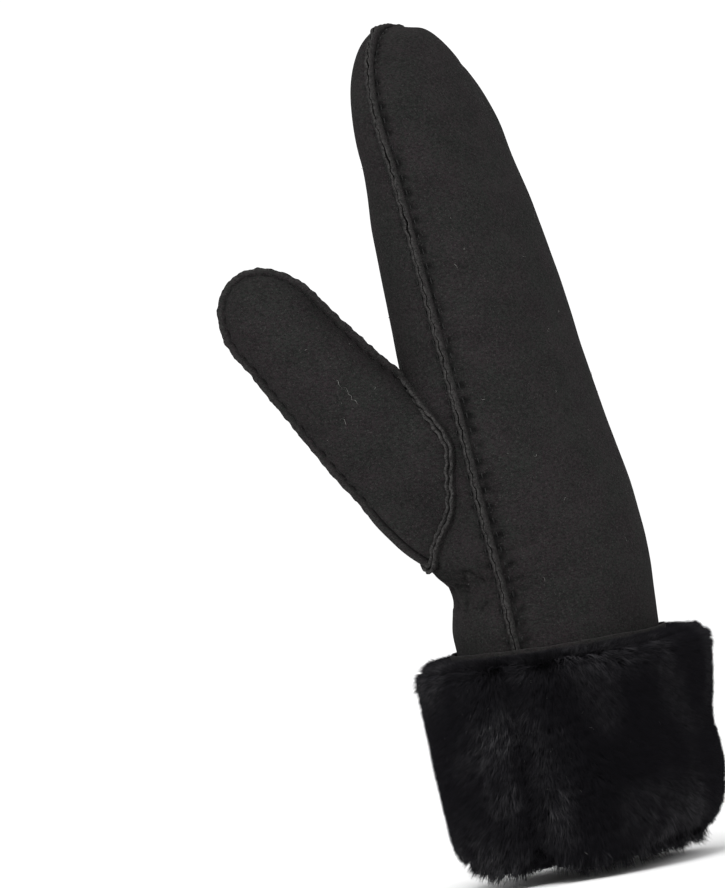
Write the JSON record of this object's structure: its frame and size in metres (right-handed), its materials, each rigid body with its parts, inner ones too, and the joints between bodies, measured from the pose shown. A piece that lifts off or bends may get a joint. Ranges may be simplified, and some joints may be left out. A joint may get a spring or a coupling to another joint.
{
  "type": "mitten",
  "caption": "Long shearling mitten with suede hand and thumb panels, outside hand-sewn seams and a deep turned-back fur cuff, stood on its cuff.",
  "frame": {"origin": "under the middle of the whole mitten's box, on the surface that it stands on", "axes": "+Z from the cuff to the fingertips, -Y the thumb edge of the hand, +Y the little-finger edge, -X the palm and the thumb, +X the back of the hand"},
  "size_m": [0.1332, 0.1296, 0.3],
  "materials": {
    "suede": "matte napped suede, black",
    "cuff_skin": "matte suede, with a slightly lighter cut edge",
    "fur": "deep soft wool pile, black"
  },
  "bodies": {
    "root": {"back_panel": "suede", "palm_panel": "suede", "thumb_front_panel": "suede", "thumb_back_panel": "suede", "cuff_band": "cuff_skin", "cuff_fur": "fur"}
  },
  "joints": []
}
